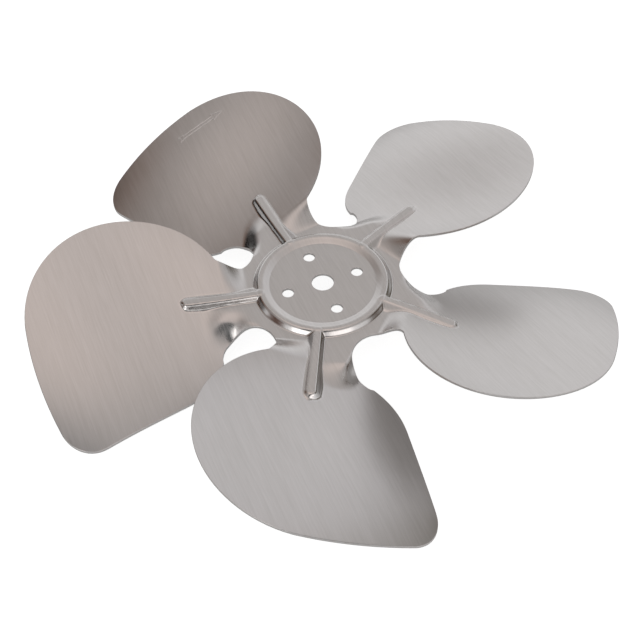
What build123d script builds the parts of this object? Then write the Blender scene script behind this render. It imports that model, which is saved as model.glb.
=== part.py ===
"""Axial fan impeller, blanked and pressed from one aluminium sheet.

+Z is the fan's axis and points to the side of the raised ring.  The origin is the centre of the shaft
hole, on the upper face of the hub disc.  Blades are counted anticlockwise from the one whose rib points
along -Y.  A single blade is drawn with its rib along +X: its round edge lies at -Y and stands high, and
its pointed edge lies at +Y and hangs low.
"""

from build123d import *

import os
from math import atan2, comb, cos, degrees, hypot, radians, sin, tan

import numpy as np

# ---- Sheet and hub, mm ----
SHEET = 1.0
SHAFT_HOLE = 7.6
SCREW_HOLE = 4.0
SCREW_CIRCLE = 25.4
SCREW_COUNT = 4
SCREW_ANGLE = 25.7
DISC_RADIUS = 18.3
INNER_SLOPE = 2.3
CROWN_WIDTH = 1.7
CROWN_HEIGHT = 0.9
OUTER_WALL = 1.5
CROWN_BEND = 1.2
FOOT_MARGIN = 0.25
FLANGE_DROP = 0.8

# ---- Blades ----
BLADES = 5
FIRST_BLADE = -90.0
TIP_RADIUS = 100.0
ROUND_EDGE_RADIUS = 34.6
ROUND_EDGE_START = 208.0
POINTED_EDGE_ANGLE = 18.0
POINTED_EDGE_OFFSET = 12.7
CORNER_RADIUS = 10.8
SHOULDER_RADIUS = 22.5
SHOULDER_AT = 58.7
SHOULDER_SWEEP = 46.0

# Relief holes between the blades
RELIEF_RADIUS = 9.1
RELIEF_AT = 36.6
RELIEF_ANGLE = 34.3

# ---- Form of the blades: stations out from the axis, and the values there ----
BEND_MARGIN = 0.8
BEND_LENGTH = 9.6
HEIGHT_STATIONS = (42.0, 62.0, 82.0, 102.0)
RIB_LINE_HEIGHTS = (-1.1, 0.4, 3.1, 4.3)
PITCH_STATIONS = (42.0, 72.0, 102.0)
PITCH_ANGLES = (19.4, 16.2, 19.0)
BOW_STATIONS = (42.0, 102.0)
BOWS = (0.2, 1.8)
EDGE_CURL = 3.2
CURL_WIDTH = 40.0

# ---- Ribs: hollow channels pressed up with the ring ----
RIB_LENGTH = 27.8
RIB_START_WIDTH = 2.8
RIB_END_RADIUS = 2.3
RIB_RISE = 0.4
RIB_DRAFT = 32.0
RIB_DEPTH = 8.0

# ---- How the pressed faces are worked out: curve orders along and across, and the margin cut away ----
BEND_ORDER = 6
BLADE_ORDER = 4
ACROSS_ORDER = 4
SLOPE_STEP = 0.01
BLANK_MARGIN = 6.0

# ---- Worked out from the sizes above ----
CROWN_INNER = DISC_RADIUS + INNER_SLOPE
CROWN_OUTER = CROWN_INNER + CROWN_WIDTH
RING_FOOT = CROWN_OUTER + OUTER_WALL
BEND_LINE = RING_FOOT + BEND_MARGIN
RIB_START = CROWN_OUTER
FLANGE_START = RING_FOOT + FOOT_MARGIN
FLANGE_BOTTOM = -FLANGE_DROP - SHEET
BLADE_PITCH = 360 / BLADES
CUT_HEIGHT = TIP_RADIUS


def through(stations, values, x):
    """The smooth curve through the values at the stations, read at x."""
    total = 0.0
    for here, value in zip(stations, values):
        share = value
        for other in stations:
            if other != here:
                share *= (x - other) / (here - other)
        total += share
    return total


def blade_height(x, y):
    """Height of the blade's upper face: pitched and bowed across, rising along the rib line."""
    slope = tan(radians(through(PITCH_STATIONS, PITCH_ANGLES, x)))
    across = y / CURL_WIDTH
    bow = through(BOW_STATIONS, BOWS, x) * across**2
    return through(HEIGHT_STATIONS, RIB_LINE_HEIGHTS, x) - slope * y - bow - EDGE_CURL * across**3


def skin_height(x, y):
    """The blade's height, led up smoothly from the flat flange over the bend's length."""
    along = min(max((x - BEND_LINE) / BEND_LENGTH, 0.0), 1.0)
    share = along * along * (3.0 - 2.0 * along)
    return -FLANGE_DROP + share * (blade_height(x, y) + FLANGE_DROP)


def skin_point(x, y, depth):
    """A point at a depth under the upper face, measured square to the sheet."""
    slope_x = (skin_height(x + SLOPE_STEP, y) - skin_height(x - SLOPE_STEP, y)) / (2 * SLOPE_STEP)
    slope_y = (skin_height(x, y + SLOPE_STEP) - skin_height(x, y - SLOPE_STEP)) / (2 * SLOPE_STEP)
    if x <= BEND_LINE:
        slope_x = slope_y = 0.0
    reach = depth / hypot(slope_x, slope_y, 1.0)
    return (x + slope_x * reach, y + slope_y * reach, skin_height(x, y) - reach)


def shares(order):
    """The weight of each control point of a Bezier curve at each of as many even stations."""
    at = np.linspace(0.0, 1.0, order + 1)
    return np.array([[comb(order, k) * t**k * (1 - t) ** (order - k) for k in range(order + 1)] for t in at])


def pressed_face(start, end, order, depth):
    """One smooth face between two distances out from the axis, made to pass through points of the skin."""
    half = ROUND_EDGE_RADIUS + BLANK_MARGIN
    stations = np.linspace(start, end, order + 1)
    across = np.linspace(-half, half, ACROSS_ORDER + 1)
    points = np.array([[skin_point(x, y, depth) for y in across] for x in stations])
    controls = np.einsum("ij,jkc->ikc", np.linalg.inv(shares(order)), points)
    controls = np.einsum("ij,kjc->kic", np.linalg.inv(shares(ACROSS_ORDER)), controls)
    return Face.make_bezier_surface([[Vector(*point) for point in row] for row in controls])


def skin_faces(depth):
    """The bend's face and the blade's face, from the bend line out past the tip."""
    bend_end = BEND_LINE + BEND_LENGTH
    bend = pressed_face(BEND_LINE, bend_end, BEND_ORDER, depth)
    return [bend, pressed_face(bend_end, TIP_RADIUS + BLANK_MARGIN, BLADE_ORDER, depth)]


def between(upper, lower):
    """The solid between two pairs of pressed faces, closed by ruled sides."""
    faces = upper + lower
    for above, below in zip(upper, lower):
        for end in (0, -1):
            sides = [face.edges().sort_by(Axis.Y)[end] for face in (above, below)]
            faces.append(Face.make_surface_from_curves(*sides))
    for index, end in ((0, 0), (-1, -1)):
        sides = [pair[index].edges().sort_by(Axis.X)[end] for pair in (upper, lower)]
        faces.append(Face.make_surface_from_curves(*sides))
    return Solid(Shell(faces))


def relief_centre(angle):
    """The centre of a relief hole at an angle from the rib."""
    return Vector(RELIEF_AT, 0).rotate(Axis.Z, angle)


def blade_outline():
    """The blade's plan: a round edge, the tip, a rounded corner, a straight pointed edge and a shoulder."""
    along = Vector(1, 0).rotate(Axis.Z, POINTED_EDGE_ANGLE)
    outward = along.rotate(Axis.Z, 90)
    square_to_edge = POINTED_EDGE_ANGLE + 90
    corner_reach = TIP_RADIUS - CORNER_RADIUS
    corner_offset = POINTED_EDGE_OFFSET - CORNER_RADIUS
    corner_centre = outward * corner_offset + along * (corner_reach**2 - corner_offset**2) ** 0.5
    corner_angle = degrees(atan2(corner_centre.Y, corner_centre.X))
    shoulder_centre = outward * (POINTED_EDGE_OFFSET - SHOULDER_RADIUS) + along * SHOULDER_AT
    round_centre = (TIP_RADIUS - ROUND_EDGE_RADIUS, 0)
    neck_high = RELIEF_ANGLE
    neck_low = RELIEF_ANGLE - BLADE_PITCH
    with BuildSketch() as plan:
        with BuildLine():
            round_edge = CenterArc(round_centre, ROUND_EDGE_RADIUS, ROUND_EDGE_START, 360 - ROUND_EDGE_START)
            CenterArc((0, 0), TIP_RADIUS, 0, corner_angle)
            corner_turn = square_to_edge - corner_angle
            corner = CenterArc(corner_centre, CORNER_RADIUS, corner_angle, corner_turn)
            shoulder = CenterArc(shoulder_centre, SHOULDER_RADIUS, square_to_edge, SHOULDER_SWEEP)
            Line(corner @ 1, shoulder @ 0)
            Polyline(
                shoulder @ 1,
                relief_centre(neck_high),
                (BEND_LINE, BEND_LINE * tan(radians(neck_high))),
                (BEND_LINE, BEND_LINE * tan(radians(neck_low))),
                relief_centre(neck_low),
                round_edge @ 0,
            )
        make_face()
    return plan.sketch


def blade():
    """One blade, from the bend line to the tip."""
    blank = between(skin_faces(0.0), skin_faces(SHEET))
    return blank & extrude(blade_outline(), amount=CUT_HEIGHT / 2, both=True)


def rib_body(inset):
    """The body under the rib's top at an inset into the sheet: 0 gives its outside, SHEET its hollow."""
    draft = radians(RIB_DRAFT)
    narrowing = inset * (1 / cos(draft) - tan(draft))
    half_start = RIB_START_WIDTH / 2 - narrowing
    square_end = Line((-half_start, -half_start), (-half_start, half_start))
    round_end = Pos(RIB_LENGTH - RIB_END_RADIUS, 0) * Circle(RIB_END_RADIUS - narrowing)
    plan = make_hull([square_end.edge(), *round_end.edges()])
    body = extrude(plan, amount=-RIB_DEPTH, taper=-RIB_DRAFT)
    climb = degrees(atan2(RIB_RISE, RIB_LENGTH))
    return Pos(RIB_START, 0, CROWN_HEIGHT - inset) * Rot(0, -climb, 0) * body


def rib():
    """The rib's outside, ended in the middle of the sheet that carries it."""
    deep = [Pos(0, 0, -2 * RIB_DEPTH) * face for face in skin_faces(SHEET / 2)]
    under_blade = between(skin_faces(SHEET / 2), deep)
    under_flange = Pos(BEND_LINE / 2, 0, -FLANGE_DROP - SHEET / 2) * Box(
        BEND_LINE, BEND_LINE, 2 * RIB_DEPTH, align=(Align.CENTER, Align.CENTER, Align.MAX)
    )
    return rib_body(0.0) - under_blade - under_flange


def ring_profile(depth):
    """The line from the axis over the ring to the flange, at a depth under the upper face."""
    corners = [
        (0, 0),
        (DISC_RADIUS, 0),
        (CROWN_INNER, CROWN_HEIGHT),
        (CROWN_OUTER, CROWN_HEIGHT),
        (RING_FOOT, -FLANGE_DROP),
        (FLANGE_START, -FLANGE_DROP),
    ]
    points = [(0, -depth)]
    for before, here, after in zip(corners, corners[1:], corners[2:]):
        arriving = atan2(here[1] - before[1], here[0] - before[0])
        leaving = atan2(after[1] - here[1], after[0] - here[0])
        middle = (arriving + leaving) / 2
        reach = depth / cos((leaving - arriving) / 2)
        points.append((here[0] + reach * sin(middle), here[1] - reach * cos(middle)))
    points.append((FLANGE_START, -FLANGE_DROP - depth))
    return points


def hub():
    """The disc and the raised ring, rounded at the crown's outer edge."""
    upper = FilletPolyline(*ring_profile(0.0), radius=[0, 0, CROWN_BEND, 0])
    lower = Polyline(*ring_profile(SHEET))
    ends = [Line(upper @ 0, lower @ 0), Line(upper @ 1, lower @ 1)]
    section = make_face([*upper.edges(), *lower.edges(), *ends])
    return revolve(Plane.XZ * section, Axis.Z)


def flange():
    """The flat five-sided flange round the ring, one side for each blade's bend line."""
    plan = RegularPolygon(BEND_LINE, BLADES, major_radius=False, rotation=BLADE_PITCH / 2)
    return Pos(0, 0, FLANGE_BOTTOM) * extrude(plan - Circle(FLANGE_START), amount=SHEET)


def impeller():
    """The whole stamping, in one piece."""
    turns = PolarLocations(0, BLADES)
    relief = Pos(relief_centre(RELIEF_ANGLE)) * Cylinder(RELIEF_RADIUS, CUT_HEIGHT)
    one_blade = blade()
    one_rib = rib()
    hollow = rib_body(SHEET)
    sheet = hub() + flange()
    sheet += [turn * one_blade for turn in turns]
    sheet += [turn * one_rib for turn in turns]
    sheet -= [turn * hollow for turn in turns]
    sheet -= [turn * relief for turn in turns]
    sheet = Rot(0, 0, FIRST_BLADE) * sheet
    screw_turns = PolarLocations(SCREW_CIRCLE / 2, SCREW_COUNT, SCREW_ANGLE)
    screws = [turn * Cylinder(SCREW_HOLE / 2, CUT_HEIGHT) for turn in screw_turns]
    return sheet - Cylinder(SHAFT_HOLE / 2, CUT_HEIGHT) - screws


os.makedirs("parts", exist_ok=True)
part = impeller()
part.label = "impeller"
export_step(part, "parts/impeller.step")
print("impeller", "solids", len(part.solids()), "volume", round(part.volume), "valid", part.is_valid)
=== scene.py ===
"""Looks of an axial fan impeller pressed from one aluminium sheet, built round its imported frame.

Lengths are in millimetres until a mesh is written, and angles in degrees.  Each blade is worked out in its
own plan, with its rib along +X, and is then turned about the fan's axis into its place.
"""

import logging
import math
from collections.abc import Callable, Sequence
from dataclasses import dataclass
from enum import Enum

import bpy
import numpy as np
from mathutils import Matrix, Vector


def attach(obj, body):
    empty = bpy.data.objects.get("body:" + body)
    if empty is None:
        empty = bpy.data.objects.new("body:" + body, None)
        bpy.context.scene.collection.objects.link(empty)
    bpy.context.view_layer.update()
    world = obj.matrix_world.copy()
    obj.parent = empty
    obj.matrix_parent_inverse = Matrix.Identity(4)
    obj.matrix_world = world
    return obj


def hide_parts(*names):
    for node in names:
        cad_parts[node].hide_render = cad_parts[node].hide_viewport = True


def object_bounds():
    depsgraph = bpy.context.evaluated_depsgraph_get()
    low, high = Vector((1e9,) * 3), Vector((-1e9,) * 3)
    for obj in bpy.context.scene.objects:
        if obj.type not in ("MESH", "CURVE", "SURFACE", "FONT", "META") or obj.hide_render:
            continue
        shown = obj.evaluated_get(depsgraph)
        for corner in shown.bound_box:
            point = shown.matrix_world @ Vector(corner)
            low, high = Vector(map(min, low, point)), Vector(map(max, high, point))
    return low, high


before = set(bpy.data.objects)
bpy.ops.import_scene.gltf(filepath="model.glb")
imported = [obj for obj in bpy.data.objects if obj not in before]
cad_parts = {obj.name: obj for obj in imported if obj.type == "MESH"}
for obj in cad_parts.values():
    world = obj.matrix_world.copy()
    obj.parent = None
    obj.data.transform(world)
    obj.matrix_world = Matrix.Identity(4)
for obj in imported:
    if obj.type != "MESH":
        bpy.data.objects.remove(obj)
CAD_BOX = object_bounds()

LOG = logging.getLogger("impeller")
MM = 0.001

# The way the sheet was rolled, anticlockwise from +X, and how its plan is laid on the UV map, with U
# across that grain.
GRAIN_ANGLE = 117.8
UV_TURN = -90.0 - GRAIN_ANGLE
UV_PER_METRE = 5.0
UV_MIDDLE = 0.5

Surface = Callable[[np.ndarray, np.ndarray, "Neck"], np.ndarray]


# ---------------------------------------------------------------- curves and blends


def ramp(distance: np.ndarray, rounding: float) -> np.ndarray:
    """Nothing before zero and the distance itself after it, with a parabola over the rounding each side.

    Args:
        distance: how far past the corner each point is.
        rounding: half the width of the rounded corner.

    Returns:
        The ramp's height, of slope one past the corner.
    """
    rounded = (distance + rounding) ** 2 / (4.0 * rounding)
    return np.where(distance <= -rounding, 0.0, np.where(distance >= rounding, distance, rounded))


def blend_up(first: np.ndarray, second: np.ndarray, fillet: float) -> np.ndarray:
    """The higher of two heights, with a parabolic fillet where they differ by less than its size."""
    near = np.maximum(1.0 - np.abs(first - second) / fillet, 0.0)
    return np.maximum(first, second) + fillet / 4.0 * near**2


def smooth(share: np.ndarray) -> np.ndarray:
    """A smooth step from 0 to 1: three times the square less twice the cube."""
    held = np.clip(share, 0.0, 1.0)
    return held * held * (3.0 - 2.0 * held)


def through(stations: tuple, values: tuple, at: np.ndarray) -> np.ndarray:
    """The polynomial through the values at the stations: each value times the shares of the others.

    Args:
        stations: where the values are known.
        values: the value at each station.
        at: where the polynomial is wanted.

    Returns:
        Its value at each of those places.
    """
    total = np.zeros_like(at, dtype=float)
    for here, value in zip(stations, values):
        share = np.full_like(at, value, dtype=float)
        for other in stations:
            if other != here:
                share = share * (at - other) / (here - other)
        total = total + share
    return total


def turned(points: np.ndarray, degrees: float) -> np.ndarray:
    """Turns points about the fan's axis: x and y go round by the angle's cosine and sine.

    Args:
        points: points of the plan or of space, along the last axis.
        degrees: the turn, anticlockwise from above.

    Returns:
        The turned points.
    """
    c, s = math.cos(math.radians(degrees)), math.sin(math.radians(degrees))
    out = points.copy()
    out[..., 0] = points[..., 0] * c - points[..., 1] * s
    out[..., 1] = points[..., 0] * s + points[..., 1] * c
    return out


def unit(vectors: np.ndarray) -> np.ndarray:
    """Vectors along the last axis, each over its own length."""
    return vectors / np.linalg.norm(vectors, axis=-1, keepdims=True)


def chords(loop: np.ndarray) -> np.ndarray:
    """For each point of a closed loop, the way from the point before it to the point after it."""
    return np.roll(loop, -1, axis=0) - np.roll(loop, 1, axis=0)


def closed(ids: np.ndarray, axis: int = 1) -> np.ndarray:
    """A grid of vertex numbers with its first row or column again after its last."""
    return np.concatenate([ids, np.take(ids, [0], axis=axis)], axis=axis)


# ---------------------------------------------------------------- meshes


class Skin(Enum):
    """The sheet's two faces, each with the sign of the way it faces."""

    UPPER = 1.0
    LOWER = -1.0


@dataclass(frozen=True)
class CutEdge:
    """A sheared and deburred edge of the sheet, rounded at its upper and its lower corner.

    Its press mark says how far the edge is burnished, from 0 to 1.
    """

    rounding: float = 0.12
    corner_rows: int = 3
    press: float = 0.35


class Shell:
    """Vertices, normals and faces gathered from several grids into one closed mesh."""

    def __init__(self) -> None:
        """Starts an empty shell."""
        self._points: list[np.ndarray] = []
        self._normals: list[np.ndarray] = []
        self._press: list[np.ndarray] = []
        self._faces: list[np.ndarray] = []
        self._count = 0

    def add(self, points: np.ndarray, normals: np.ndarray, press: np.ndarray) -> np.ndarray:
        """Adds vertices.

        Args:
            points: their places, along the last axis.
            normals: the way the metal faces at each.
            press: how hard the die pressed each, from 0 to 1.

        Returns:
            Their numbers, in the order given.
        """
        flat = points.reshape(-1, 3)
        self._points.append(flat)
        self._normals.append(normals.reshape(-1, 3))
        self._press.append(press.reshape(-1))
        numbers = np.arange(self._count, self._count + len(flat))
        self._count += len(flat)
        return numbers

    def add_flat(self, plan: np.ndarray, level: float, skin: Skin) -> np.ndarray:
        """Adds unpressed vertices that lie at one level.

        Args:
            plan: their places in plan.
            level: their height.
            skin: the face of the sheet that they are on.

        Returns:
            Their numbers, in the order given.
        """
        points = np.column_stack([plan, np.full(len(plan), level)])
        return self.add(points, np.tile([0.0, 0.0, skin.value], (len(plan), 1)), np.zeros(len(plan)))

    def points(self) -> np.ndarray:
        """All the vertices so far."""
        return np.concatenate(self._points)

    def quads(self, ids: np.ndarray, flip: bool = False) -> None:
        """Adds the faces between the neighbouring rows and columns of a grid.

        Args:
            ids: the grid's vertex numbers.
            flip: whether the faces turn the other way about.
        """
        a, b, c, d = ids[:-1, :-1], ids[1:, :-1], ids[1:, 1:], ids[:-1, 1:]
        order = (d, c, b, a) if flip else (a, b, c, d)
        self._faces.append(np.stack([corner.ravel() for corner in order], 1))

    def rim(
        self, edge: np.ndarray, outward: np.ndarray, levels: Sequence[np.ndarray],
        skins: Sequence[np.ndarray], cut: CutEdge,
    ) -> None:
        """A strip round a closed edge: a quarter round, the sheet's cut face and another quarter round.

        On a quarter round a point stands back from the edge by the rounding times one less the angle's
        cosine, and off the skin by the rounding times one less its sine.

        Args:
            edge: the plan of the cut edge, anticlockwise as seen from the metal.
            outward: the direction away from the metal at each point.
            levels: the upper and the lower skin's height at each point.
            skins: the upper skin's vertices that the strip starts from and the lower's that it ends on.
            cut: the edge's rounding, rows and press mark.
        """
        turns = np.radians(np.linspace(90.0, 0.0, cut.corner_rows + 2)[1:-1])
        press = np.full(len(edge), cut.press)
        layers = [skins[0]]
        for skin, level in zip(Skin, levels):
            for turn in (turns if skin is Skin.UPPER else turns[::-1]):
                back = cut.rounding * (math.cos(turn) - 1.0)
                height = level - skin.value * cut.rounding * (1.0 - math.sin(turn))
                points = np.column_stack([edge + outward * back, height])
                facing = np.full(len(edge), skin.value * math.sin(turn))
                normals = np.column_stack([outward * math.cos(turn), facing])
                layers.append(self.add(points, normals, press))
        layers.append(skins[1])
        self.quads(closed(np.array(layers)))

    def finish(self, name: str) -> bpy.types.Object:
        """Writes the mesh in metres, with its normals, its press marks and its unrolled plan as UV.

        Args:
            name: the piece's name.

        Returns:
            The piece, in the scene and at the origin.
        """
        faces = np.concatenate(self._faces)
        used = np.unique(faces)
        lookup = np.zeros(self._count, int)
        lookup[used] = np.arange(len(used))
        faces = lookup[faces]
        points = self.points()[used] * MM
        normals = np.concatenate(self._normals)[used]
        press = np.concatenate(self._press)[used]

        mesh = bpy.data.meshes.new(name)
        mesh.vertices.add(len(points))
        mesh.vertices.foreach_set("co", points.astype(np.float32).ravel())
        mesh.loops.add(faces.size)
        mesh.loops.foreach_set("vertex_index", faces.astype(np.int32).ravel())
        mesh.polygons.add(len(faces))
        mesh.polygons.foreach_set("loop_start", np.arange(0, faces.size, faces.shape[1], dtype=np.int32))
        mesh.update(calc_edges=True)
        mesh.validate()
        mesh.polygons.foreach_set("use_smooth", np.ones(len(mesh.polygons), bool))

        mark = mesh.attributes.new("press", "FLOAT", "POINT")
        mark.data.foreach_set("value", press.astype(np.float32))
        corner = np.empty(len(mesh.loops), np.int32)
        mesh.loops.foreach_get("vertex_index", corner)
        plan = turned(points[:, :2], UV_TURN)[corner] * UV_PER_METRE + UV_MIDDLE
        mesh.uv_layers.new(name="grain").data.foreach_set("uv", plan.astype(np.float32).ravel())
        mesh.normals_split_custom_set_from_vertices(normals.astype(np.float32))

        made = bpy.data.objects.new(name, mesh)
        bpy.context.scene.collection.objects.link(made)
        return made


# ---------------------------------------------------------------- the pressed sheet


@dataclass(frozen=True)
class Ring:
    """The flat disc with its five holes, and the raised ring round it.

    Each rounding is half the width of the rounded corner at the radius named before it.  The disc's mesh
    has spokes between its screw holes, and rings round them at shares of the way out.
    """

    disc_radius: float = 18.3
    disc_rounding: float = 0.25
    crown_inner: float = 20.6
    inner_rounding: float = 0.6
    crown_outer: float = 22.3
    outer_rounding: float = 0.55
    foot: float = 23.8
    foot_rounding: float = 0.3
    crown_height: float = 0.9
    flange_drop: float = 0.8
    shaft_radius: float = 3.8
    screw_radius: float = 2.0
    screw_circle: float = 12.7
    screw_angle: float = 25.7
    screws: int = 4
    spoke_points: int = 10
    hole_rings: tuple[float, ...] = (0.6, 0.3, 0.12, 0.0)

    def height(self, radius: np.ndarray) -> np.ndarray:
        """The ring's section: four rounded corners, each of which changes the slope.

        Args:
            radius: each point's distance from the axis.

        Returns:
            Its height over the disc.
        """
        rise = self.crown_height / (self.crown_inner - self.disc_radius)
        fall = (self.crown_height + self.flange_drop) / (self.foot - self.crown_outer)
        return (
            rise * ramp(radius - self.disc_radius, self.disc_rounding)
            - rise * ramp(radius - self.crown_inner, self.inner_rounding)
            - fall * ramp(radius - self.crown_outer, self.outer_rounding)
            + fall * ramp(radius - self.foot, self.foot_rounding)
        )

    def screw_centre(self, quarter: int) -> np.ndarray:
        """The middle of one quarter's screw hole, in plan."""
        angle = math.radians(self.screw_angle + 360.0 / self.screws * quarter)
        return self.screw_circle * np.array([math.cos(angle), math.sin(angle)])


@dataclass(frozen=True)
class Rib:
    """A hollow channel pressed up from the ring out along the blade, steep on its falling side."""

    start: float = 21.9
    end_centre: float = 46.6
    start_width: float = 1.15
    end_width: float = 1.5
    drift: float = -2.0
    drift_power: float = 1.3
    top: float = 0.9
    rise: float = -0.2
    flank: float = 1.75
    soft_flank: float = 0.65
    flank_change: float = 1.0
    edge: float = 0.5
    fillet: float = 0.5

    def height(self, x: np.ndarray, y: np.ndarray, lean: float) -> np.ndarray:
        """The top line, less the flank's slope times the distance outside the rib's long round plan.

        The plan's middle line drifts towards the rising side as a power of the way along, and the flank
        changes over the rib's middle from soft on the rising side to steep on the falling one.

        Args:
            x: distance along the blade's middle.
            y: distance across it.
            lean: what the blade's own rib adds to the drift.

        Returns:
            The rib's height over the disc, which is under the sheet away from the rib.
        """
        along = np.clip((x - self.start) / (self.end_centre - self.start), 0.0, 1.0)
        width = self.start_width + (self.end_width - self.start_width) * along
        beyond = np.maximum(x - self.end_centre, 0.0) + np.minimum(x - self.start, 0.0)
        across = y - (self.drift + lean) * along**self.drift_power
        outside = np.hypot(beyond, across) - width
        side = smooth((across + self.flank_change) / (2 * self.flank_change))
        flank = self.soft_flank + (self.flank - self.soft_flank) * side
        return self.top + self.rise * along - flank * ramp(outside, self.edge)


@dataclass(frozen=True)
class Pucker:
    """A place where the press drew the sheet unevenly: a bell, longer one way than the other."""

    at: tuple[float, float]
    spread: tuple[float, float]
    turn: float
    height: float

    def lift(self, x: np.ndarray, y: np.ndarray) -> np.ndarray:
        """The bell: its height times e to minus the squares of the distances over the spreads.

        Args:
            x: distance along the blade's middle.
            y: distance across it.

        Returns:
            How far the sheet is lifted.
        """
        c, s = math.cos(math.radians(self.turn)), math.sin(math.radians(self.turn))
        along = (x - self.at[0]) * c + (y - self.at[1]) * s
        across = (y - self.at[1]) * c - (x - self.at[0]) * s
        return self.height * np.exp(-((along / self.spread[0]) ** 2) - (across / self.spread[1]) ** 2)


@dataclass(frozen=True)
class Neck:
    """What sets one blade's neck apart: its rib's lean, the crease it folds down from, and its puckers.

    The crease passes through a point of the plan.  The turn is the way the fold falls from it,
    anticlockwise from the blade's middle, and the length is how far the fold runs.
    """

    lean: float = 0.0
    fold_at: tuple[float, float] = (25.2, 9.4)
    fold_turn: float = 59.0
    fold_length: float = 7.5
    puckers: tuple[Pucker, ...] = ()


@dataclass(frozen=True)
class Blade:
    """One blade's pitched, bowed face and the bend that joins it to the flange.

    Heights, pitches and bows are given at stations along the blade, and run smoothly through them.
    """

    height_stations: tuple[float, ...] = (42.0, 62.0, 82.0, 102.0)
    heights: tuple[float, ...] = (-1.1, 0.4, 3.1, 4.3)
    pitch_stations: tuple[float, ...] = (42.0, 72.0, 102.0)
    pitches: tuple[float, ...] = (19.4, 16.2, 19.0)
    bow_stations: tuple[float, ...] = (42.0, 102.0)
    bows: tuple[float, ...] = (0.2, 1.8)
    edge_curl: float = 3.2
    curl_width: float = 40.0
    bend_line: float = 24.6
    bend_length: float = 9.6
    fold_near: float = 23.6
    fold_ease: float = 6.0
    fold_far: float = 33.5
    fold_fade: float = 10.0
    side_start: float = -1.5
    side_length: float = 4.0

    def face(self, x: np.ndarray, y: np.ndarray) -> np.ndarray:
        """The rib line's height, less the pitch's slope across, a bow (square) and a curl (cube).

        Args:
            x: distance along the blade's middle.
            y: distance across it.

        Returns:
            The face's height over the disc.
        """
        slope = np.tan(np.radians(through(self.pitch_stations, self.pitches, x)))
        across = y / self.curl_width
        bow = through(self.bow_stations, self.bows, x) * across**2
        line = through(self.height_stations, self.heights, x)
        return line - slope * y - bow - self.edge_curl * across**3

    def rise(self, x: np.ndarray, y: np.ndarray, drop: float, neck: Neck) -> np.ndarray:
        """The face's height over the flange, let in by smooth steps.

        On the rising side the step runs straight out over the bend's length.  On the falling side it
        starts at the neck's slanting crease, which leaves a flat three-cornered facet between the ring
        and the rib, and the crease dies away farther out.

        Args:
            x: distance along the blade's middle.
            y: distance across it.
            drop: how far the flange lies under the disc.
            neck: the blade's own neck.

        Returns:
            The height that the blade adds to the flange's.
        """
        out = smooth((x - self.bend_line) / self.bend_length)
        turn = math.radians(neck.fold_turn)
        past = math.cos(turn) * (x - neck.fold_at[0]) + math.sin(turn) * (y - neck.fold_at[1])
        flat = (1.0 - smooth(past / neck.fold_length)) * (1.0 - smooth((x - self.fold_far) / self.fold_fade))
        folded = (1.0 - flat) * smooth((x - self.fold_near) / self.fold_ease)
        side = smooth((y - self.side_start) / self.side_length)
        return (out + (folded - out) * side) * (self.face(x, y) + drop)


@dataclass(frozen=True)
class Outline:
    """The blade's plan, as the angle of its two sides at each radius.

    One round relief hole lies between each two blades.  A start or a join is the radius at which the next
    piece of a side begins.  A circle has its radius, its middle's distance from the axis and that
    middle's angle, and the round side's own lies on the rib's line.
    """

    pitch: float = 72.0
    tip: float = 99.98
    relief_radius: float = 9.1
    relief_at: float = 36.6
    relief_angle: float = 34.3
    relief_start: float = 27.5
    low_join: float = 37.7
    high_join: float = 43.3
    round_radius: float = 34.6
    round_centre: float = 65.4
    shoulder_radius: float = 22.5
    shoulder_centre: float = 59.5
    shoulder_angle: float = 8.49
    line_start: float = 60.1
    line_angle: float = 18.0
    line_offset: float = 12.7
    corner_start: float = 90.0
    corner_radius: float = 10.8
    corner_centre: float = 89.2
    corner_angle: float = 19.2

    def circle(self, radius: np.ndarray, centre: float, size: float) -> np.ndarray:
        """The angle at which a circle, set out from the axis, is met: by the rule of cosines.

        Args:
            radius: the radii at which it is met.
            centre: its middle's distance from the axis.
            size: its own radius.

        Returns:
            The angle from its middle's, at each radius.
        """
        cosine = (radius**2 + centre**2 - size**2) / (2.0 * centre * radius)
        return np.degrees(np.arccos(np.clip(cosine, -1.0, 1.0)))

    def high(self, radius: np.ndarray) -> np.ndarray:
        """The pointed side: the relief hole, the shoulder, the straight edge and the rounded corner.

        Args:
            radius: the radii at which the side is wanted.

        Returns:
            Its angle at each.
        """
        relief = self.relief_angle - self.circle(radius, self.relief_at, self.relief_radius)
        shoulder = self.shoulder_angle + self.circle(radius, self.shoulder_centre, self.shoulder_radius)
        line = self.line_angle + np.degrees(np.arcsin(np.clip(self.line_offset / radius, -1, 1)))
        corner = self.corner_angle + self.circle(radius, self.corner_centre, self.corner_radius)
        before = [radius <= self.relief_start]
        before += [radius < join for join in (self.high_join, self.line_start, self.corner_start)]
        return np.select(before, [np.full_like(radius, self.relief_angle), relief, shoulder, line], corner)

    def low(self, radius: np.ndarray) -> np.ndarray:
        """The round side: the relief hole and then one arc to the tip.

        Args:
            radius: the radii at which the side is wanted.

        Returns:
            Its angle at each.
        """
        neck = self.relief_angle - self.pitch
        relief = neck + self.circle(radius, self.relief_at, self.relief_radius)
        arc = -self.circle(radius, self.round_centre, self.round_radius)
        before = [radius <= self.relief_start, radius < self.low_join]
        return np.select(before, [np.full_like(radius, neck), relief], arc)


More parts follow.
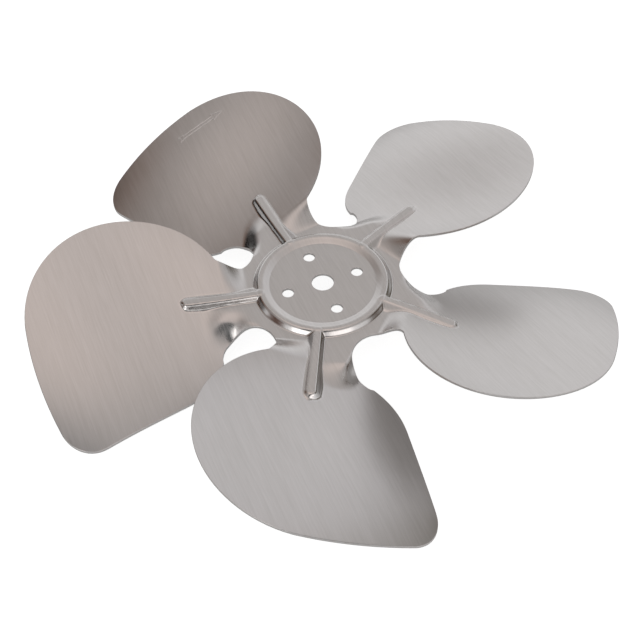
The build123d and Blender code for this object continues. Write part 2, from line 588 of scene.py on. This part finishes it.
@dataclass(frozen=True)
class Layout:
    """How the rows and columns of one blade's grid are spread over its plan.

    Bands of rows run from the disc's edge out to the tip.  Near the rib a share of the columns, the fine
    ones, lies within a set distance of the blade's middle, or within most of the way to its nearer side.
    The blades' columns, less one each, have to divide evenly by the screws.
    """

    inner: float = 17.4
    flange: float = 25.0
    rib_end: float = 52.0
    ring_rows: int = 37
    flange_rows: int = 7
    relief_rows: int = 24
    relief_bunching: float = 1.6
    neck_rows: int = 12
    rib_rows: int = 24
    shoulder_rows: int = 8
    blade_rows: int = 21
    tip_rows: int = 15
    columns: int = 57
    fine_share: float = 0.62
    fine_half: float = 6.0
    fine_most: float = 0.8
    fine_from: float = 19.0
    fine_ease: float = 6.0
    fine_to: float = 50.0
    fine_fade: float = 12.0

    def radii(self, outline: Outline) -> np.ndarray:
        """The rows' radii: close over the ring and round the rib's end, and bunched up to the tip.

        Args:
            outline: the blade's plan, whose joins fall on rows.

        Returns:
            The radii, from the inside out.
        """
        o = outline
        bunched = np.linspace(0, 1, self.relief_rows) ** self.relief_bunching
        bands = [
            np.linspace(self.inner, self.flange, self.ring_rows),
            np.linspace(self.flange, o.relief_start, self.flange_rows),
            o.relief_start + (o.low_join - o.relief_start) * bunched,
            np.linspace(o.low_join, o.high_join, self.neck_rows),
            np.linspace(o.high_join, self.rib_end, self.rib_rows),
            np.linspace(self.rib_end, o.line_start, self.shoulder_rows),
            np.linspace(o.line_start, o.corner_start, self.blade_rows),
            o.tip - (o.tip - o.corner_start) * np.linspace(1.0, 0.0, self.tip_rows) ** 2,
        ]
        return np.concatenate([bands[0]] + [band[1:] for band in bands[1:]])

    def plan(self, outline: Outline, radii: np.ndarray) -> np.ndarray:
        """The grid's plan: on each row, columns crowd along the rib near the hub and even out past it.

        Args:
            outline: the blade's plan.
            radii: the rows' radii.

        Returns:
            Points by row and column, in the blade's own plan.
        """
        share = np.linspace(0.0, 1.0, self.columns)
        low, high = outline.low(radii)[:, None], outline.high(radii)[:, None]
        even = low + (high - low) * share
        half = np.degrees(np.arcsin(self.fine_half / radii))[:, None]
        half = np.minimum(half, self.fine_most * np.minimum(-low, high))
        edge = (1.0 - self.fine_share) / 2.0
        crowded = np.where(
            share < edge,
            low + (-half - low) * share / edge,
            np.where(
                share > 1 - edge,
                high - (high - half) * (1 - share) / edge,
                -half + 2 * half * (share - edge) / self.fine_share,
            ),
        )
        near = smooth((radii - self.fine_from) / self.fine_ease)
        near = near * (1 - smooth((radii - self.fine_to) / self.fine_fade))
        angle = np.radians(even + (crowded - even) * near[:, None])
        return np.stack([radii[:, None] * np.cos(angle), radii[:, None] * np.sin(angle)], -1)


@dataclass(frozen=True)
class Stamping:
    """The whole pressed sheet, as one closed surface of upper skin, lower skin and rounded rim.

    The blades go round anticlockwise from the first, each with its own neck.  What the press worked is
    where the sheet bends within a short reach, or is steeper than a set slope.
    """

    thickness: float = 1.0
    first_blade: float = -90.0
    slope_step: float = 0.03
    worked_reach: float = 0.7
    worked_bend: float = 1.2
    worked_slope: float = 0.55
    worked_ease: float = 0.5
    necks: tuple[Neck, ...] = (
        Neck(1.5, (26.6, 11.9), 70.0, 6.0),
        Neck(),
        Neck(),
        Neck(-0.1, (25.2, 8.6), 59.0, 8.0),
        Neck(-0.35, (26.4, 10.4), 68.0, 7.5, (Pucker((34.0, 10.5), (4.0, 4.0), 0.0, -2.0),)),
    )
    ring: Ring = Ring()
    rib: Rib = Rib()
    blade: Blade = Blade()
    outline: Outline = Outline()
    layout: Layout = Layout()
    cut: CutEdge = CutEdge()

    # ---- heights

    def height(self, x: np.ndarray, y: np.ndarray, neck: Neck) -> np.ndarray:
        """The upper face: the sheet and the rib, whichever stands higher, with a fillet between.

        The sheet is the sum of the ring's section, the blade's rise and the neck's puckers.

        Args:
            x: distance along the blade's middle.
            y: distance across it.
            neck: the blade's own neck.

        Returns:
            The upper face's height over the disc.
        """
        sheet = self.ring.height(np.hypot(x, y)) + self.blade.rise(x, y, self.ring.flange_drop, neck)
        sheet = sheet + sum(pucker.lift(x, y) for pucker in neck.puckers)
        return blend_up(sheet, self.rib.height(x, y, neck.lean), self.rib.fillet)

    def lower(self, x: np.ndarray, y: np.ndarray, neck: Neck) -> np.ndarray:
        """The lower face: straight below the upper by the thickness over the slope's cosine."""
        along, across = self.slopes(self.height, x, y, neck)
        return self.height(x, y, neck) - self.thickness * np.sqrt(1.0 + along**2 + across**2)

    def surface(self, skin: Skin) -> Surface:
        """The height of one of the sheet's two faces."""
        return self.height if skin is Skin.UPPER else self.lower

    def slopes(
        self, surface: Surface, x: np.ndarray, y: np.ndarray, neck: Neck,
    ) -> tuple[np.ndarray, np.ndarray]:
        """A surface's slopes along x and y, by central differences.

        Args:
            surface: the face's height.
            x: distance along the blade's middle.
            y: distance across it.
            neck: the blade's own neck.

        Returns:
            The slope along x and the slope along y.
        """
        step = self.slope_step
        along = (surface(x + step, y, neck) - surface(x - step, y, neck)) / (2 * step)
        across = (surface(x, y + step, neck) - surface(x, y - step, neck)) / (2 * step)
        return along, across

    def worked(self, x: np.ndarray, y: np.ndarray, neck: Neck) -> np.ndarray:
        """How hard the die pressed the sheet: from how sharply the upper face bends and how steep it is.

        The bend is the sum of the heights a short reach off on four sides, less four times the height in
        the middle, over the reach's square.

        Args:
            x: distance along the blade's middle.
            y: distance across it.
            neck: the blade's own neck.

        Returns:
            The press mark at each point, from 0 to 1.
        """
        reach = self.worked_reach
        middle = self.height(x, y, neck)
        around = (
            self.height(x + reach, y, neck) + self.height(x - reach, y, neck)
            + self.height(x, y + reach, neck) + self.height(x, y - reach, neck)
        )
        along, across = self.slopes(self.height, x, y, neck)
        steep = np.clip((np.hypot(along, across) - self.worked_slope) / self.worked_ease, 0.0, 1.0)
        bent = np.abs(around - 4 * middle) / reach**2 / self.worked_bend
        return np.clip(bent + steep, 0.0, 1.0)

    # ---- mesh

    def build(self) -> bpy.types.Object:
        """Lays out one blade's grid, turns it round the hub, closes it with a rim and adds the disc.

        Returns:
            The finished object, closed and facing outwards.
        """
        outline, blades = self.outline, range(len(self.necks))
        radii = self.layout.radii(outline)
        plan = self.layout.plan(outline, radii)
        rows, cols = plan.shape[:2]
        shared = int(np.argmin(np.abs(radii - outline.relief_start)))
        mesh = Shell()

        # One outline per blade: out along the round side, round the tip, back along the pointed side.
        sides = [(i, 0) for i in range(shared, rows - 1)] + [(rows - 1, j) for j in range(cols - 1)]
        sides += [(i, cols - 1) for i in range(rows - 1, shared, -1)]
        side_rows, side_cols = np.array(sides).T
        side = plan[side_rows, side_cols]
        edge = np.concatenate([turned(side, outline.pitch * k) for k in blades])
        chord = chords(edge)
        outward = unit(np.stack([chord[:, 1], -chord[:, 0]], -1))
        inset = edge - outward * self.cut.rounding
        place = plan.copy()
        place[side_rows, side_cols] = inset[:len(side)]
        place[shared, cols - 1] = inset[len(side)]

        # Both skins of every blade, whose rows are closed on the next blade's up to the relief hole.
        x, y = place[..., 0], place[..., 1]
        ids = np.zeros((len(Skin), len(blades), rows, cols), int)
        for k, neck in enumerate(self.necks):
            angle = outline.pitch * k + self.first_blade
            press = self.worked(x, y, neck)
            for layer, skin in enumerate(Skin):
                surface = self.surface(skin)
                along, across = self.slopes(surface, x, y, neck)
                normals = unit(skin.value * np.stack([-along, -across, np.ones_like(x)], -1))
                points = np.stack([x, y, surface(x, y, neck)], -1)
                numbers = mesh.add(turned(points, angle), turned(normals, angle), press)
                ids[layer, k] = numbers.reshape(rows, cols)
        for k in blades:
            ids[:, k, : shared + 1, cols - 1] = ids[:, (k + 1) % len(blades), : shared + 1, 0]
        for k in blades:
            for layer, skin in enumerate(Skin):
                mesh.quads(ids[layer, k], flip=skin is Skin.LOWER)

        skins = np.concatenate([ids[:, k][:, side_rows, side_cols] for k in blades], axis=1)
        levels = [
            np.concatenate([self.surface(skin)(*side.T, neck) for neck in self.necks]) for skin in Skin
        ]
        spin = self.first_blade
        mesh.rim(turned(edge, spin), turned(outward, spin), levels, skins, self.cut)
        self.add_disc(mesh, ids[:, :, 0, : cols - 1].reshape(len(Skin), -1))
        return mesh.finish("pressed_impeller")

    def add_disc(self, mesh: Shell, bound: np.ndarray) -> None:
        """The flat disc: a quarter round each screw hole, spun from the hole out to the quarter's sides.

        Args:
            mesh: the shell that gets the disc.
            bound: for each skin, the vertices of the blades' first rows, which bound the disc.
        """
        ring = self.ring
        total = bound.shape[1]
        quarter = total // ring.screws
        points = mesh.points()[bound[0]][:, :2]
        angles = np.degrees(np.arctan2(points[:, 1], points[:, 0])) % 360
        start = ring.screw_angle - 180.0 / ring.screws
        first = int(np.argmin(np.abs((angles - start + 180) % 360 - 180)))
        bound = np.roll(bound, -first, axis=1)
        points = np.roll(points, -first, axis=0)
        angles = np.radians(np.roll(angles, -first))

        shaft = ring.shaft_radius + self.cut.rounding
        inner = shaft * np.stack([np.cos(angles), np.sin(angles)], -1)
        mix = np.linspace(0, 1, ring.spoke_points)[1:-1, None]
        starts = np.arange(ring.screws) * quarter
        shafts, holes = [], []
        for layer, skin in enumerate(Skin):
            level = 0.0 if skin is Skin.UPPER else -self.thickness
            shafts.append(mesh.add_flat(inner, level, skin))
            spokes = [mesh.add_flat(points[s] + (inner[s] - points[s]) * mix, level, skin) for s in starts]
            for q, s in enumerate(starts):
                arc = np.arange(s, s + quarter + 1) % total
                back = [shafts[layer][arc][::-1], spokes[q][::-1]]
                loop = np.concatenate([bound[layer][arc], spokes[(q + 1) % ring.screws], *back])
                holes.append(self.add_quarter(mesh, loop, q, level, skin))

        self.add_hole(mesh, inner * ring.shaft_radius / shaft, -unit(inner), shafts)
        for q in range(ring.screws):
            skins = (holes[q], holes[q + ring.screws])
            plan = mesh.points()[skins[0]][:, :2]
            outward = unit(ring.screw_centre(q) - plan)
            self.add_hole(mesh, plan + outward * self.cut.rounding, outward, skins)

    def add_quarter(
        self, mesh: Shell, loop: np.ndarray, quarter: int, level: float, skin: Skin,
    ) -> np.ndarray:
        """One quarter of the disc, as rings that grow from its screw hole into the quarter's outline.

        Args:
            mesh: the shell that gets the quarter.
            loop: the vertices of its outline, all the way round.
            quarter: which quarter it is.
            level: the skin's height.
            skin: the face of the sheet that it is on.

        Returns:
            The vertices round the screw hole.
        """
        ring, centre = self.ring, self.ring.screw_centre(quarter)
        outer = mesh.points()[loop][:, :2]
        hole = centre + unit(outer - centre) * (ring.screw_radius + self.cut.rounding)
        rings = [mesh.add_flat(hole + (outer - hole) * share, level, skin) for share in ring.hole_rings]
        mesh.quads(closed(np.array([loop] + rings)), flip=skin is Skin.UPPER)
        return rings[-1]

    def add_hole(
        self, mesh: Shell, edge: np.ndarray, outward: np.ndarray, skins: Sequence[np.ndarray],
    ) -> None:
        """The cut wall of one of the disc's holes.

        Args:
            mesh: the shell that gets the wall.
            edge: the hole's plan, anticlockwise as seen from its middle.
            outward: the direction away from the metal at each point.
            skins: the upper and the lower skin's vertices round it.
        """
        level = np.zeros(len(edge))
        levels = (level, level - self.thickness)
        mesh.rim(edge[::-1], outward[::-1], levels, [skin[::-1] for skin in skins], self.cut)


@dataclass(frozen=True)
class TurningArrow:
    """The raised outline of an arrow that shows which way the impeller turns, near one blade's tip.

    It runs from a notched tail, which narrows to the shaft at the fork, to the head.  A half is half its
    width at the place named, and the line's own section is an oval of its half width and its height.
    """

    blade: int = 3
    radius: float = 90.6
    tail: float = 8.0
    length: float = 19.4
    head: float = 4.4
    head_half: float = 1.5
    fork: float = 3.0
    notch: float = 0.9
    tail_half: float = 1.3
    shaft_half: float = 0.62
    line_half: float = 0.28
    line_height: float = 0.13
    step: float = 0.25
    sides: int = 12
    press: float = 0.3

    def path(self) -> np.ndarray:
        """The arrow's outline in the blade's plan, from straight runs, divided evenly.

        Returns:
            Points along the closed outline, the first not repeated.
        """
        neck = self.length - self.head
        half = [
            (0.0, self.tail_half), (self.fork, self.shaft_half), (neck, self.shaft_half),
            (neck, self.head_half), (self.length, 0.0),
        ]
        other = [(along, -across) for along, across in half[-2::-1]]
        corners = np.array([(self.notch, 0.0)] + half + other + [(self.notch, 0.0)])
        runs = np.concatenate([[0.0], np.cumsum(np.hypot(*np.diff(corners, axis=0).T))])
        at = np.linspace(0.0, runs[-1], int(runs[-1] / self.step) + 1)[:-1]
        along, across = np.interp(at, runs, corners[:, 0]), np.interp(at, runs, corners[:, 1])
        return np.stack([self.radius + across, self.tail - along], -1)

    def build(self, sheet: Stamping) -> bpy.types.Object:
        """Carries an oval, half above the sheet and half in it, along the outline.

        A point of the oval is its half width times the turn's cosine to the side and its height times the
        turn's sine up, square to the sheet.

        Args:
            sheet: the stamping whose upper face carries the arrow.

        Returns:
            The finished object, one closed ring of quads.
        """
        path = self.path()
        neck = sheet.necks[self.blade]
        x, y = path.T
        slope = np.stack(sheet.slopes(sheet.height, x, y, neck), -1)
        up = unit(np.stack([-slope[:, 0], -slope[:, 1], np.ones_like(x)], -1))
        chord = chords(path)
        run = unit(np.column_stack([chord, np.sum(chord * slope, axis=1)]))
        side = np.cross(run, up)
        turn = np.radians(np.arange(self.sides) * 360.0 / self.sides)[:, None, None]
        middle = np.stack([x, y, sheet.height(x, y, neck)], -1)
        points = middle + self.line_half * np.cos(turn) * side + self.line_height * np.sin(turn) * up
        normals = unit(np.cos(turn) / self.line_half * side + np.sin(turn) / self.line_height * up)
        angle = sheet.first_blade + sheet.outline.pitch * self.blade
        press = np.full(points.shape[:2], self.press)
        mesh = Shell()
        ids = mesh.add(turned(points, angle), turned(normals, angle), press).reshape(press.shape)
        mesh.quads(closed(closed(ids, axis=0)), flip=True)
        return mesh.finish("turning_arrow")


# ---------------------------------------------------------------- finishes


def linear(code: str) -> tuple:
    """An sRGB hex colour such as "#b4afab", as linear red, green, blue and alpha."""
    channels = [int(code[i:i + 2], 16) / 255.0 for i in (1, 3, 5)]
    lit = [c / 12.92 if c <= 0.04045 else ((c + 0.055) / 1.055) ** 2.4 for c in channels]
    return (*lit, 1.0)


def node(
    tree: bpy.types.NodeTree, kind: str, settings: dict | None = None, links: dict | None = None,
) -> bpy.types.Node:
    """Adds one node.

    Args:
        tree: the tree that gets the node.
        kind: the node's type.
        settings: attributes by name, and input values by socket name or number.
        links: for each input, the socket that feeds it.

    Returns:
        The node.
    """
    made = tree.nodes.new(kind)
    for key, value in (settings or {}).items():
        if isinstance(key, str) and hasattr(made, key):
            setattr(made, key, value)
        else:
            made.inputs[key].default_value = value
    for key, socket in (links or {}).items():
        tree.links.new(socket, made.inputs[key])
    return made


@dataclass(frozen=True)
class RolledAluminium:
    """Mill-finish aluminium sheet, cold rolled and then pressed.

    To the eye it is a satin grey metal whose reflections smear across the rolling grain, with fine streaks
    all one way over the whole blank, a faint unevenness, and smoother, glossier metal at the press lines.
    """

    colour: str = "#d1cecd"
    dull: str = "#c4c1bf"
    roughness: float = 0.32
    burnished: float = 0.15
    roughness_swing: float = 0.08
    anisotropy: float = 0.35

    # Cycles per metre along the grain, across it and through the sheet.  Real rolling lines are about
    # 0.1 mm wide, too fine to show, so a streak is drawn 0.6 mm wide and 12 mm long.  A band, from wear of
    # the mill's rolls, is 2.4 mm wide and 40 mm long, and the mottling of the oxide is about 33 mm across.
    streak: tuple[float, float, float] = (80.0, 1700.0, 80.0)
    band: tuple[float, float, float] = (25.0, 420.0, 25.0)
    mottle: float = 30.0
    band_share: float = 0.3
    mottle_share: float = 0.3

    # The sums of the three that give the dull and the bright colour.
    dullest: float = 0.5
    brightest: float = 1.1

    # The streaks' relief, and its depth in metres.
    relief: float = 0.08
    relief_depth: float = 0.00006

    def make(self, name: str) -> bpy.types.Material:
        """Builds the material: streaks, bands and mottling set its tone, and the press marks its gloss.

        Args:
            name: the material's name.

        Returns:
            The material.
        """
        material = bpy.data.materials.new(name)
        material.use_nodes = True
        tree = material.node_tree
        tree.nodes.clear()
        place = node(tree, "ShaderNodeTexCoord")
        turn = node(tree, "ShaderNodeMapping", {"Rotation": (0, 0, -math.radians(GRAIN_ANGLE))},
                    {"Vector": place.outputs["Object"]})
        fine = node(tree, "ShaderNodeMapping", {"Scale": self.streak}, {"Vector": turn.outputs[0]})
        streaks = node(tree, "ShaderNodeTexNoise", {"Scale": 1.0, "Detail": 2.0, "Roughness": 0.7},
                       {"Vector": fine.outputs[0]})
        broad = node(tree, "ShaderNodeMapping", {"Scale": self.band}, {"Vector": turn.outputs[0]})
        bands = node(tree, "ShaderNodeTexNoise", {"Scale": 1.0, "Detail": 2.0}, {"Vector": broad.outputs[0]})
        mottle = node(tree, "ShaderNodeTexNoise", {"Scale": self.mottle, "Detail": 4.0, "Roughness": 0.55},
                      {"Vector": place.outputs["Object"]})
        grain = node(tree, "ShaderNodeMath", {"operation": "MULTIPLY_ADD", 1: self.band_share},
                     {0: bands.outputs["Fac"], 2: streaks.outputs["Fac"]})
        tone = node(tree, "ShaderNodeMath", {"operation": "MULTIPLY_ADD", 1: self.mottle_share},
                    {0: mottle.outputs["Fac"], 2: grain.outputs[0]})
        level = node(tree, "ShaderNodeMapRange", {"From Min": self.dullest, "From Max": self.brightest},
                     {"Value": tone.outputs[0]})
        tint = node(tree, "ShaderNodeMix",
                    {"data_type": "RGBA", 6: linear(self.dull), 7: linear(self.colour)},
                    {0: level.outputs[0]})
        press = node(tree, "ShaderNodeAttribute", {"attribute_name": "press"})
        rough = node(tree, "ShaderNodeMapRange", {"To Min": self.roughness, "To Max": self.burnished},
                     {"Value": press.outputs["Fac"]})
        varied = node(tree, "ShaderNodeMath", {"operation": "MULTIPLY_ADD", 1: self.roughness_swing},
                      {0: streaks.outputs["Fac"], 2: rough.outputs[0]})
        relief = node(tree, "ShaderNodeBump", {"Strength": self.relief, "Distance": self.relief_depth},
                      {"Height": grain.outputs[0]})
        tangent = node(tree, "ShaderNodeTangent", {"direction_type": "UV_MAP", "uv_map": "grain"})
        metal = node(
            tree, "ShaderNodeBsdfPrincipled", {"Metallic": 1.0, "Anisotropic": self.anisotropy},
            {"Base Color": tint.outputs[2], "Roughness": varied.outputs[0],
             "Normal": relief.outputs[0], "Tangent": tangent.outputs[0]},
        )
        node(tree, "ShaderNodeOutputMaterial", links={"Surface": metal.outputs[0]})
        return material


# ---------------------------------------------------------------- studio


@dataclass(frozen=True)
class Card:
    """A round card of one colour, hung in the surround for the metal to mirror.

    It is whole up to the inner angle from its middle, and has gone past the outer one.
    """

    towards: tuple[float, float, float]
    inner: float
    outer: float
    colour: str

    def hang(
        self, tree: bpy.types.NodeTree, way: bpy.types.NodeSocket, behind: bpy.types.NodeSocket,
    ) -> bpy.types.NodeSocket:
        """Mixes the card in by a smooth step of the cosine between the way looked in and its middle.

        Args:
            tree: the surround's tree.
            way: the socket that gives the direction looked in.
            behind: the colour of what the card hangs before.

        Returns:
            The socket with the card in place.
        """
        middle = Vector(self.towards).normalized()
        facing = node(tree, "ShaderNodeVectorMath", {"operation": "DOT_PRODUCT", 1: middle}, {0: way})
        edge = node(
            tree, "ShaderNodeMapRange",
            {"interpolation_type": "SMOOTHSTEP", "From Min": math.cos(math.radians(self.outer)),
             "From Max": math.cos(math.radians(self.inner))},
            {"Value": facing.outputs["Value"]},
        )
        hung = node(tree, "ShaderNodeMix", {"data_type": "RGBA", 7: linear(self.colour)},
                    {0: edge.outputs[0], 6: behind})
        return hung.outputs[2]


@dataclass(frozen=True)
class Lamp:
    """A square soft lamp that faces the hub, with its place and size in metres and its power in watts."""

    name: str
    at: tuple[float, float, float]
    size: float
    power: float
    colour: tuple[float, float, float]

    def build(self) -> None:
        """Makes the lamp and turns it to the hub."""
        data = bpy.data.lights.new(self.name, "AREA")
        data.shape = "SQUARE"
        data.size = self.size
        data.energy = self.power
        data.color = self.colour
        made = bpy.data.objects.new(self.name, data)
        bpy.context.scene.collection.objects.link(made)
        facing = Vector(self.at).to_track_quat("Z", "Y")
        made.matrix_world = Matrix.LocRotScale(Vector(self.at), facing, Vector((1, 1, 1)))


@dataclass(frozen=True)
class Studio:
    """A plain pale floor, a soft surround with cards for the metal to mirror, and two large lamps.

    To the camera the floor and the surround are white.  The floor's glow is what brings it there, and its
    gloss is how bright it stands in reflections.  The sky's stops are the height looked at, from the
    horizon up to straight overhead, and the colour mirrored from there.  The fill is the surround's
    strength as light.
    """

    floor_colour: str = "#c8c8c8"
    floor_glow: float = 0.83
    floor_gloss: float = 0.30
    floor_size: float = 6.0
    floor_gap: float = 0.0002
    backdrop: str = "#ffffff"
    fill: float = 0.5
    sky: tuple[tuple[float, str], ...] = (
        (0.0, "#fbfbfc"), (0.24, "#fbfbfc"), (0.38, "#ffffff"), (0.47, "#f9f8f9"), (0.58, "#d3d1d0"),
        (0.76, "#bdbab8"), (1.0, "#d6cfcc"),
    )
    cards: tuple[Card, ...] = (
        # Warm white overhead, and cool white at the back on the right.
        Card((-0.12, 0.12, 0.98), 5.0, 27.0, "#fff1ea"),
        Card((0.47, 0.60, 0.64), 4.0, 20.0, "#f4f4f7"),
        # Grey, brown and nearly black on the left, down to the horizon.
        Card((-0.75, 0.20, 0.62), 5.0, 34.0, "#a19c99"),
        Card((-0.78, 0.38, 0.48), 6.0, 22.0, "#7d5c48"),
        Card((-0.90, 0.40, 0.10), 18.0, 28.0, "#0c0b0a"),
        Card((-0.85, -0.30, 0.40), 7.0, 18.0, "#5d3f30"),
        # Dim on the right.
        Card((0.82, 0.54, 0.18), 12.0, 28.0, "#6a645a"),
        Card((0.90, 0.02, 0.44), 8.0, 20.0, "#5a4c40"),
        # Dark in front, where whoever looks at the fan stands.
        Card((-0.10, -0.60, 0.79), 12.0, 20.0, "#3c4042"),
        Card((0.26, -0.93, 0.20), 9.0, 17.0, "#38332f"),
    )
    lamps: tuple[Lamp, ...] = (
        Lamp("lamp_key", (-0.63, -1.10, 0.74), 0.6, 1.8, (1.0, 0.985, 0.97)),
        Lamp("lamp_side", (0.6, -1.0, 0.6), 0.7, 1.5, (1.0, 0.94, 0.91)),
    )

    def build(self) -> None:
        """Makes the floor, the world and the lamps."""
        self.floor(CAD_BOX[0].z - self.floor_gap)
        self.world()
        for lamp in self.lamps:
            lamp.build()

    def floor(self, level: float) -> None:
        """A wide flat floor, white to the camera and dimmer in reflections, that takes soft shadows.

        Args:
            level: its height in metres, just under the impeller.
        """
        half = self.floor_size / 2
        mesh = bpy.data.meshes.new("floor")
        corners = [(-half, -half, level), (half, -half, level), (half, half, level), (-half, half, level)]
        mesh.from_pydata(corners, [], [(0, 1, 2, 3)])
        made = bpy.data.objects.new("floor", mesh)
        bpy.context.scene.collection.objects.link(made)
        material = bpy.data.materials.new("matt_white_board")
        material.use_nodes = True
        tree = material.node_tree
        tree.nodes.clear()
        path = node(tree, "ShaderNodeLightPath")
        framed = node(tree, "ShaderNodeMath", {"operation": "MULTIPLY", 1: self.floor_glow},
                      {0: path.outputs["Is Camera Ray"]})
        strength = node(tree, "ShaderNodeMath", {"operation": "MULTIPLY_ADD", 1: self.floor_gloss},
                        {0: path.outputs["Is Glossy Ray"], 2: framed.outputs[0]})
        board = node(tree, "ShaderNodeBsdfDiffuse", {"Color": linear(self.floor_colour)})
        glow = node(tree, "ShaderNodeEmission", links={"Strength": strength.outputs[0]})
        both = node(tree, "ShaderNodeAddShader", links={0: board.outputs[0], 1: glow.outputs[0]})
        node(tree, "ShaderNodeOutputMaterial", links={"Surface": both.outputs[0]})
        mesh.materials.append(material)

    def world(self) -> None:
        """White to the camera, the sky and its cards in reflections, and an even fill as light."""
        world = bpy.data.worlds.new("studio")
        bpy.context.scene.world = world
        world.use_nodes = True
        tree = world.node_tree
        tree.nodes.clear()
        way = node(tree, "ShaderNodeTexCoord").outputs["Generated"]
        split = node(tree, "ShaderNodeSeparateXYZ", links={0: way})
        fall = node(tree, "ShaderNodeValToRGB", links={0: split.outputs["Z"]})
        stops = fall.color_ramp.elements
        while len(stops) < len(self.sky):
            stops.new(0.5)
        for stop, (height, colour) in zip(stops, self.sky):
            stop.position = height
            stop.color = linear(colour)
        seen = fall.outputs[0]
        for card in self.cards:
            seen = card.hang(tree, way, seen)
        path = node(tree, "ShaderNodeLightPath")
        mirrored = node(tree, "ShaderNodeMath", {"operation": "MAXIMUM"},
                        {0: path.outputs["Is Glossy Ray"], 1: path.outputs["Is Transmission Ray"]})
        bright = node(tree, "ShaderNodeBackground", {"Strength": 1.0}, {"Color": seen})
        soft = node(tree, "ShaderNodeBackground", {"Strength": self.fill, "Color": linear(self.backdrop)})
        lit = node(tree, "ShaderNodeMixShader",
                   links={0: mirrored.outputs[0], 1: soft.outputs[0], 2: bright.outputs[0]})
        plain = node(tree, "ShaderNodeBackground", {"Strength": 1.0, "Color": linear(self.backdrop)})
        framed = node(tree, "ShaderNodeMixShader",
                      links={0: path.outputs["Is Camera Ray"], 1: lit.outputs[0], 2: plain.outputs[0]})
        node(tree, "ShaderNodeOutputWorld", links={"Surface": framed.outputs[0]})


@dataclass(frozen=True)
class Viewpoint:
    """The camera: where it stands in metres, its three axes, its turn about the fan's axis and its lens."""

    place: tuple[float, float, float] = (-0.001230, -0.256617, 0.284434)
    right: tuple[float, float, float] = (0.99973, -0.01775, -0.01496)
    up: tuple[float, float, float] = (0.02321, 0.76458, 0.64412)
    back: tuple[float, float, float] = (0.0, -0.64429, 0.76478)
    turn: float = 4.81
    lens: float = 62.9
    sensor: float = 36.0
    nearest: float = 0.01

    def build(self) -> None:
        """Makes the camera and gives it to the scene."""
        data = bpy.data.cameras.new("camera")
        data.lens = self.lens
        data.sensor_width = self.sensor
        data.clip_start = self.nearest
        made = bpy.data.objects.new("camera", data)
        bpy.context.scene.collection.objects.link(made)
        axes = Matrix((self.right, self.up, self.back)).transposed().to_4x4()
        stand = Matrix.Translation(Vector(self.place)) @ axes
        made.matrix_world = Matrix.Rotation(math.radians(self.turn), 4, "Z") @ stand
        bpy.context.scene.camera = made


def main() -> None:
    """Builds the impeller's surface, its finish, the studio and the camera, and logs each piece."""
    logging.basicConfig(level=logging.INFO, format="%(message)s")
    metal = RolledAluminium().make("rolled_aluminium_sheet")
    sheet = Stamping()
    impeller = sheet.build()
    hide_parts("impeller")
    arrow = TurningArrow().build(sheet)
    for piece in (impeller, arrow):
        piece.data.materials.append(metal)
        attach(piece, "root")
        LOG.info("%s: %d faces", piece.name, len(piece.data.polygons))
    Studio().build()
    Viewpoint().build()
    bpy.context.scene.view_settings.view_transform = "Standard"


if __name__ == "__main__":
    main()
